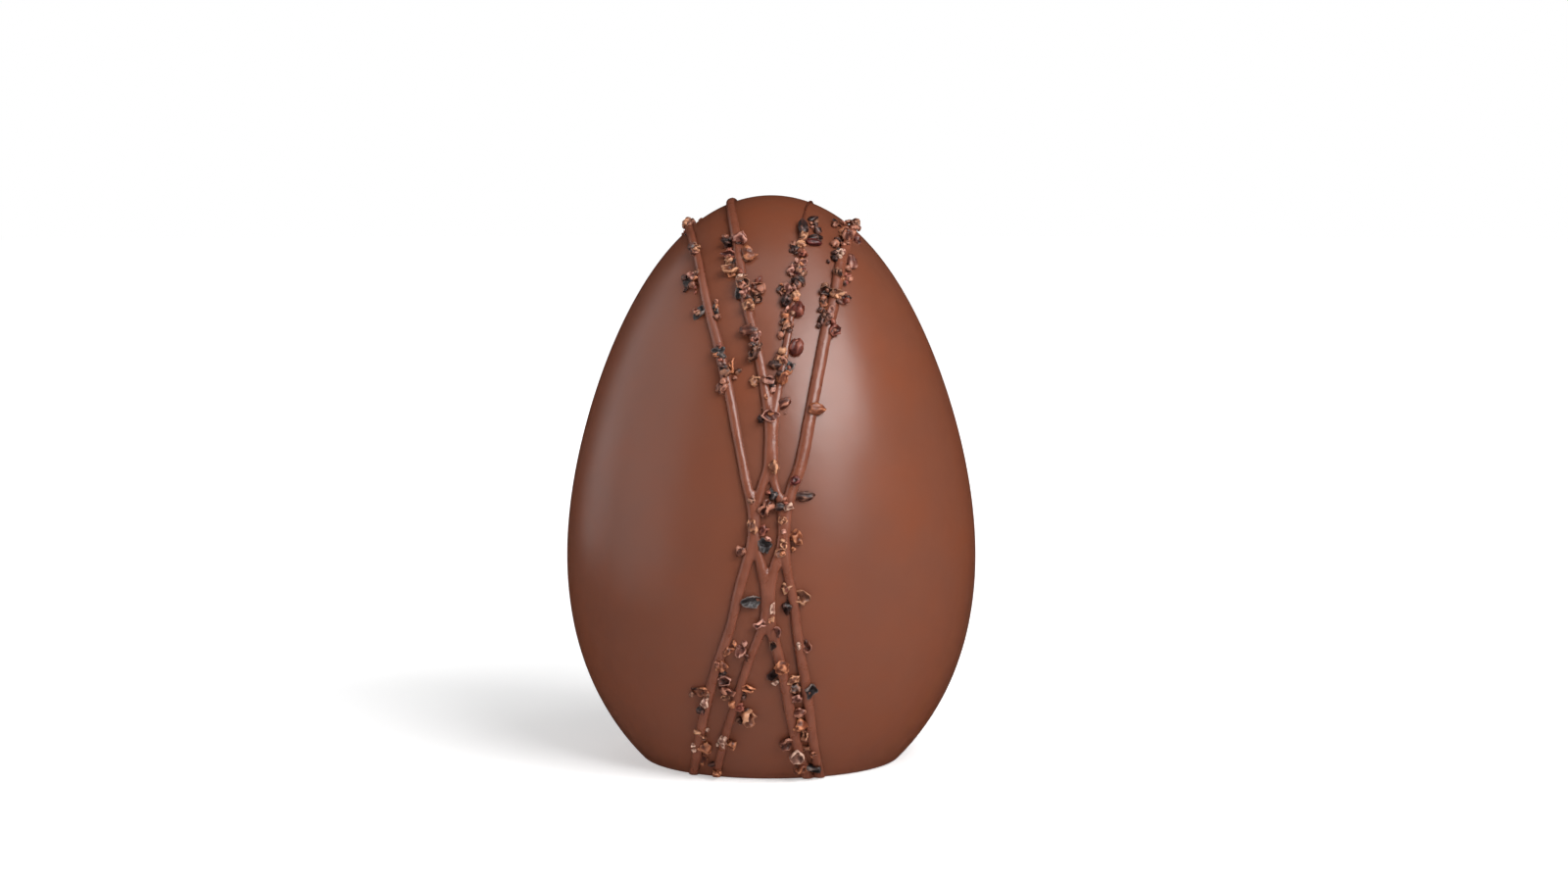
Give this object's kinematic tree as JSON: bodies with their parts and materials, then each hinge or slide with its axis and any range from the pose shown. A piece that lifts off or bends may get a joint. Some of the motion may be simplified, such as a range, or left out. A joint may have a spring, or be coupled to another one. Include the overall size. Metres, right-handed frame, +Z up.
{
  "type": "chocolate egg",
  "caption": "Milk chocolate Easter egg standing on a flat foot, with piped chocolate lines like bare branches over its front, crown and back.",
  "frame": {"origin": "middle of the flat foot, on the surface the egg stands on", "axes": "+Z up along the egg's axis; -Y the front; +X to the right seen from the front"},
  "size_m": [0.131, 0.1352, 0.18],
  "materials": {
    "milk_chocolate": "satin",
    "piped_chocolate": "satin",
    "cocoa_nibs": "matte"
  },
  "bodies": {
    "root": {"egg": "milk_chocolate", "branches": "piped_chocolate"}
  },
  "joints": []
}
